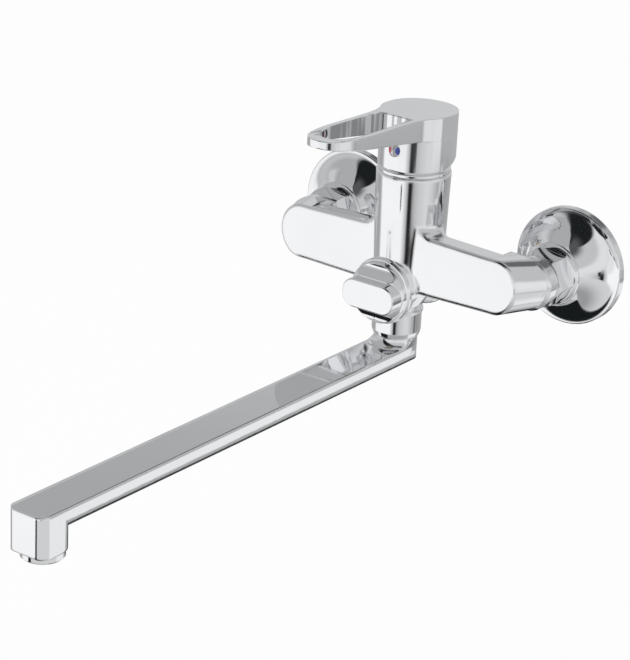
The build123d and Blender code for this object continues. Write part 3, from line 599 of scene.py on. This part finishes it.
PANELS: tuple[Panel, ...] = (
    # Walls above eye height: left, middle and right, brighter near the horizon
    Panel(-190, -62, -12, 99, 0.44),
    Panel(-190, -62, -12, 2, 0.56, top_edge=12),
    Panel(-62, 70, -11, 99, 0.58, side_edge=6),
    Panel(-62, 70, -12, 9, 0.80, side_edge=6, top_edge=14),
    Panel(70, 190, -12, 99, 0.56, side_edge=10),
    # Brighter patches at the walls' foot, right and left
    Panel(62, 88, -16, 10, 0.84, side_edge=12, top_edge=10),
    Panel(-58, -28, -17, -10, 0.82, top_edge=3),
    # The handle stands higher and sees the right wall without its flags
    Panel(55, 88, -18, -10, 0.80, side_edge=12, top_edge=1),
    Panel(88, 160, -18, -10, 0.46, side_edge=12, top_edge=1),
    Panel(-4, 5, -18, -12, 0.03, side_edge=5, top_edge=1),
    # Black wedge that widens towards the ceiling, the dark ceiling and a flag before it
    Panel(-65, -50, -12, 99, 0.012, right_lean=0.85),
    Panel(-50, 90, 52, 99, 0.09, side_edge=30, top_edge=30),
    Panel(126, 176, 32, 50, 0.14, side_edge=6, top_edge=4),
    # Rear wall
    Panel(-80, 80, 4, 19, 0.62, side_edge=16, top_edge=8, behind=True),
    Panel(-80, 80, 19, 24, 0.50, side_edge=16, top_edge=4, behind=True),
    Panel(-80, 80, 24, 31, 0.41, side_edge=16, top_edge=4, behind=True),
    # Bench below: light in the middle, black on the left, brightest on the right
    Panel(-58, 190, -99, -24, 0.68, top_edge=3),
    Panel(-58, 100, -99, -48, 0.34, side_edge=20, top_edge=44),
    Panel(-32, -52, -99, -23, 0.010, left_lean=1.35, top_edge=3),
    Panel(80, 134, -52, -23, 0.88, side_edge=14, top_edge=3),
    Panel(134, 154, -60, -23, 0.42, side_edge=12),
    Panel(154, 190, -60, -23, 0.04, side_edge=12),
)

# Brightness round the mixer just below eye height, by degrees from the camera
RING: tuple[tuple[float, float], ...] = (
    (-180, 0.46), (-146, 0.46), (-136, 0.40), (-116, 0.40), (-106, 1.0), (-30, 1.0),
    (-24, 0.77), (-16, 0.46), (-12, 0.02), (-5, 0.01), (-2, 0.10), (1, 0.34), (8, 0.52),
    (20, 0.63), (45, 0.74), (60, 0.68), (76, 0.50), (86, 0.42), (91, 0.14), (94, 0.14),
    (98, 0.26), (105, 0.36), (109, 0.30), (112, 0.16), (115, 0.34), (150, 0.42), (180, 0.46))


@dataclass
class Studio:
    """Camera, floor and the soft boxes that the chrome mirrors."""

    camera_place: tuple[float, float, float] = (0.77309, -1.19935, 0.49219)
    azimuth: float = 36.11
    elevation: float = 21.53
    roll: float = 2.74
    lens: float = 141.87
    sensor: float = 36.0
    sight: float = 50.0
    facing: float = -2.1
    floor_z: float = -0.30
    floor_side: float = 12.0
    floor_tone: float = 0.9
    floor_glow: float = 0.88
    daylight: float = 0.92
    lamp_place: tuple[float, float, float] = (-0.8, -1.4, 1.6)
    lamp_side: float = 1.6
    lamp_power: float = 6.0

    def camera(self) -> None:
        """Sets the camera at the photograph's view."""
        a, e, t = (radians(v) for v in (self.azimuth, self.elevation, self.roll))
        right = Vector((cos(a), sin(a), 0.0))
        back = Vector((sin(a) * cos(e), -cos(a) * cos(e), sin(e)))
        up = back.cross(right)
        x = right * cos(t) + up * sin(t)
        y = up * cos(t) - right * sin(t)
        data = bpy.data.cameras.new("camera")
        data.lens = self.lens
        data.sensor_width = self.sensor
        data.clip_end = self.sight
        made = bpy.data.objects.new("camera", data)
        turn = Matrix((x, y, back)).transposed().to_4x4()
        made.matrix_world = Matrix.Translation(self.camera_place) @ turn
        bpy.context.scene.collection.objects.link(made)
        bpy.context.scene.camera = made

    def floor(self) -> None:
        """Pale floor well below the mixer, seen only from above."""
        shape = bmesh.new()
        bmesh.ops.create_grid(shape, x_segments=1, y_segments=1, size=self.floor_side / 2)
        bmesh.ops.translate(shape, verts=shape.verts, vec=(0, 0, self.floor_z))
        mesh = bpy.data.meshes.new("floor")
        shape.to_mesh(mesh)
        shape.free()
        made = bpy.data.objects.new("floor", mesh)
        bpy.context.scene.collection.objects.link(made)
        made.visible_glossy = False
        finish = bpy.data.materials.new("pale_floor")
        finish.use_nodes = True
        graph = Graph(finish.node_tree)
        pale = graph.node("ShaderNodeBsdfDiffuse", {}, {"Color": (self.floor_tone,) * 3})
        glow = graph.node("ShaderNodeEmission", {}, {"Color": (1.0, 1.0, 1.0), "Strength": 1.0})
        above = graph.node("ShaderNodeMixShader", {}, {0: self.floor_glow, 1: pale, 2: glow})
        under = graph.node("ShaderNodeNewGeometry", output="Backfacing")
        clear = graph.node("ShaderNodeBsdfTransparent")
        shown = graph.node("ShaderNodeMixShader", {}, {0: under, 1: above, 2: clear})
        graph.node("ShaderNodeOutputMaterial", {}, {"Surface": shown})
        mesh.materials.append(finish)

    def world(self) -> None:
        """White surroundings, and the soft boxes and flags that only metal mirrors."""
        world = bpy.data.worlds.new("studio")
        bpy.context.scene.world = world
        world.use_nodes = True
        graph = Graph(world.node_tree)
        x, y, z = graph.parts(graph.node("ShaderNodeTexCoord", output="Generated"), "X", "Y", "Z")
        # Angles in degrees: round the mixer from the camera, growing to its right, and upwards
        facing = radians(self.azimuth - 90.0 + self.facing)
        ahead = x * cos(facing) + y * sin(facing)
        aside = y * cos(facing) - x * sin(facing)
        turn = aside.arctan2(ahead) * DEGREES
        behind = (0.0 - aside).arctan2(0.0 - ahead) * DEGREES
        height = z.arcsin() * DEGREES
        sky = graph.node("ShaderNodeValToRGB", {"stops": self.ring()}, {0: turn / 360.0 + 0.5})
        for panel in PANELS:
            sky = graph.mix_colour(panel.mask(behind if panel.behind else turn, height), sky,
                                   panel.colour)
        path = graph.node("ShaderNodeLightPath")
        paths = path.socket.node.outputs
        camera = Number(graph, paths["Is Camera Ray"])
        glossy = Number(graph, paths["Is Glossy Ray"])
        plain = graph.mix_colour(glossy, (self.daylight,) * 3, sky)
        shown = graph.mix_colour(camera, plain, (1.0, 1.0, 1.0))
        light = graph.node("ShaderNodeBackground", {}, {"Color": shown, "Strength": 1.0})
        graph.node("ShaderNodeOutputWorld", {}, {"Surface": light})

    @staticmethod
    def ring() -> list[tuple[float, Colour]]:
        """Ramp stops of the ring, with the angle from -180 to 180 degrees as 0 to 1.

        It has a white box on the camera's left, a grey one on its right and narrow black
        flags beside them.

        Returns:
            The stops, as place and colour.
        """
        return [((angle + 180) / 360, (level, level, level * COOL[2])) for angle, level in RING]

    def lamps(self) -> None:
        """One large soft lamp above the camera's left, for the pieces that aren't metal."""
        data = bpy.data.lights.new("soft_lamp", "AREA")
        data.shape = "SQUARE"
        data.size = self.lamp_side
        data.energy = self.lamp_power
        lamp = bpy.data.objects.new("soft_lamp", data)
        aim = Vector(self.lamp_place).to_track_quat("Z", "Y").to_matrix().to_4x4()
        lamp.matrix_world = Matrix.Translation(self.lamp_place) @ aim
        lamp.visible_glossy = False
        bpy.context.scene.collection.objects.link(lamp)

    def build(self) -> None:
        """Sets the whole studio."""
        self.camera()
        self.floor()
        self.world()
        self.lamps()
        bpy.context.scene.view_settings.view_transform = "Standard"
        log.info("studio set")


@dataclass
class SubAssembly:
    """Pieces of the mixer that belong together, with the finishes of their nodes.

    Every node gets its slot's finish, and the ones in special a finish of their own. The
    unmirrored ones don't show in the others' reflections, which keeps those plain.
    """

    nodes: tuple[str, ...] = ()
    unmirrored: tuple[str, ...] = ()

    def special(self) -> dict[str, Finish]:
        """Finishes of single nodes that differ from their slot's."""
        return {}

    def build(self) -> None:
        """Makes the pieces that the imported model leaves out; most sub-assemblies have none."""

    def dress(self, frame: dict, slots: dict[str, Slot]) -> None:
        """Dresses the nodes.

        Args:
            frame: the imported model.
            slots: material slot of every node.
        """
        special = self.special()
        for name in self.nodes:
            piece = frame["nodes"][name]
            dress(piece, slots[name], special.get(name))
            piece.visible_glossy = name not in self.unmirrored
            log.info("dressed %s", name)


@dataclass
class WallUnions(SubAssembly):
    """Flanges, S-unions, nuts, gaskets and inlet nipples at the wall."""

    nodes: tuple[str, ...] = tuple(f"{piece}_{side}" for piece in (
        "wall_flange", "eccentric_union", "union_nut", "union_gasket", "inlet_nipple")
        for side in ("left", "right"))
    spacing: float = 150.0 * MM
    thread_r: float = 10.4 * MM
    thread_len: float = 14.0 * MM
    pitch: float = 1.8 * MM
    crest: float = 0.55 * MM
    root: float = 0.15 * MM
    start: float = 0.4
    flank: float = 0.42
    steps: int = 36

    def thread(self, side: int) -> bmesh.types.BMesh:
        """Ridge of the male wall thread, one sharp helix round the union.

        Args:
            side: -1 for the left union, 1 for the right one.

        Returns:
            The ridge as a closed mesh.
        """
        turns = int(self.thread_len / self.pitch) - 1
        x, y = side * self.spacing / 2, self.start * self.pitch
        inner = x + self.thread_r - self.root
        shape = bmesh.new()
        corner = [shape.verts.new(place) for place in (
            (inner, y, 0.0),
            (x + self.thread_r + self.crest, y + self.flank * self.pitch, 0.0),
            (inner, y + 2 * self.flank * self.pitch, 0.0))]
        shape.faces.new(corner)
        bmesh.ops.spin(shape, geom=shape.verts[:] + shape.edges[:] + shape.faces[:],
                       cent=(x, 0.0, 0.0), axis=(0.0, 1.0, 0.0),
                       dvec=(0.0, self.pitch / self.steps, 0.0), angle=2 * pi * turns,
                       steps=self.steps * turns, use_merge=False, use_duplicate=False)
        bmesh.ops.holes_fill(shape, edges=[e for e in shape.edges if e.is_boundary], sides=0)
        return shape

    def build(self) -> None:
        """Makes the threads that screw into the wall fittings."""
        for name, side in (("left", -1), ("right", 1)):
            new_piece(f"wall_thread_{name}", self.thread(side), "body", Slot.BRASS)


@dataclass
class Body(SubAssembly):
    """Cast body with the shower outlet in its foot."""

    nodes: tuple[str, ...] = ("body_casting", "shower_outlet_bush", "shower_check_valve")
    cast_edge: float = 3.0 * MM

    def special(self) -> dict[str, Finish]:
        """The casting's edges and inner corners are rounded before it is polished."""
        return {"body_casting": Chrome("chrome_on_casting", edge=self.cast_edge)}


@dataclass
class Cartridge(SubAssembly):
    """Ceramic cartridge, its retaining nut and the dome cap over it."""

    nodes: tuple[str, ...] = (
        "cartridge_base", "cartridge_port_seals", "fixed_ceramic_disc", "moving_ceramic_disc",
        "disc_carrier", "cartridge_shell", "cartridge_rotor", "lever_pivot_pin",
        "lever_spindle", "cartridge_retaining_nut", "dome_cap")


@dataclass
class Handle(SubAssembly):
    """Loop handle with its index button and grub screw."""

    nodes: tuple[str, ...] = ("handle_lever", "handle_grub_screw", "index_plug_hot",
                              "index_plug_cold")
    unmirrored: tuple[str, ...] = ("handle_lever",)
    lever_edge: float = 0.8 * MM

    def special(self) -> dict[str, Finish]:
        """The lever's edges are softer than those of turned pieces, and the loop's inner walls get
        painted shade.
        """
        return {"handle_lever": LoopChrome("chrome_on_lever", edge=self.lever_edge)}


@dataclass
class Spout(SubAssembly):
    """Swivel spout with its coupling nut, seals and aerator."""

    nodes: tuple[str, ...] = ("swivel_spout", "spout_coupling_nut", "spout_slip_ring",
                              "spout_o_ring_upper", "spout_o_ring_lower", "aerator_housing",
                              "aerator_jet_plate", "aerator_gasket")
    unmirrored: tuple[str, ...] = ("swivel_spout", "aerator_housing")
    spout_edge: float = 1.8 * MM

    def special(self) -> dict[str, Finish]:
        """The spout's long edges are drawn round."""
        return {"swivel_spout": SpoutChrome("chrome_on_spout", edge=self.spout_edge)}


@dataclass
class Diverter(SubAssembly):
    """Diverter valve with its bonnet, collar and knob."""

    nodes: tuple[str, ...] = ("diverter_bonnet", "diverter_collar", "diverter_knob",
                              "diverter_spindle", "diverter_disc", "diverter_knob_screw")
    unmirrored: tuple[str, ...] = ("diverter_knob", "diverter_collar")
    knob_edge: float = 0.8 * MM

    def special(self) -> dict[str, Finish]:
        """The knob's edges are soft to the fingers."""
        return {"diverter_knob": Chrome("chrome_on_knob", edge=self.knob_edge)}


def main() -> None:
    """Builds the mixer's looks."""
    logging.basicConfig(level=logging.INFO, format="%(message)s")
    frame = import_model()
    Studio().build()
    slots = {entry["node"]: Slot(entry["material_slot"]) for entry in frame["record"]["subparts"]}
    for group in (WallUnions(), Body(), Cartridge(), Handle(), Spout(), Diverter()):
        group.dress(frame, slots)
        group.build()


if __name__ == "__main__":
    main()
